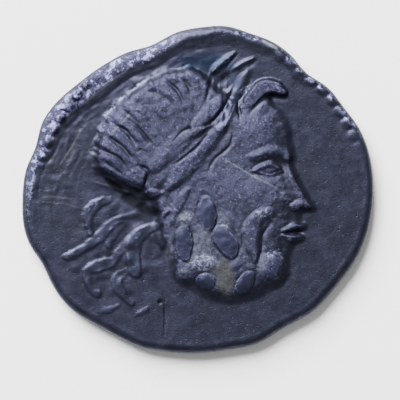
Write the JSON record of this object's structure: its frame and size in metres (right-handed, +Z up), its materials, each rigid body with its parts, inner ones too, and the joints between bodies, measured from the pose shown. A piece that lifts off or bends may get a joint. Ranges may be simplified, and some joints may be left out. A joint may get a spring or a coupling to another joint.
{
  "type": "quinarius coin",
  "caption": "Small worn ancient silver coin, slightly oval, with a wreathed, bearded head in relief on one face and a winged figure beside a trophy on the other.",
  "frame": {"origin": "centre of the bounding box, in the plane that the coin rests on", "axes": "+Z up through the thickness, out of the face with the head; +X the way the head looks; +Y towards the head's crown"},
  "size_m": [0.0164, 0.0154, 0.0014],
  "materials": {
    "toned_silver": "worn struck silver with dark blue-violet toning, brighter on the high points"
  },
  "bodies": {
    "root": {"coin": "toned_silver"}
  },
  "joints": []
}
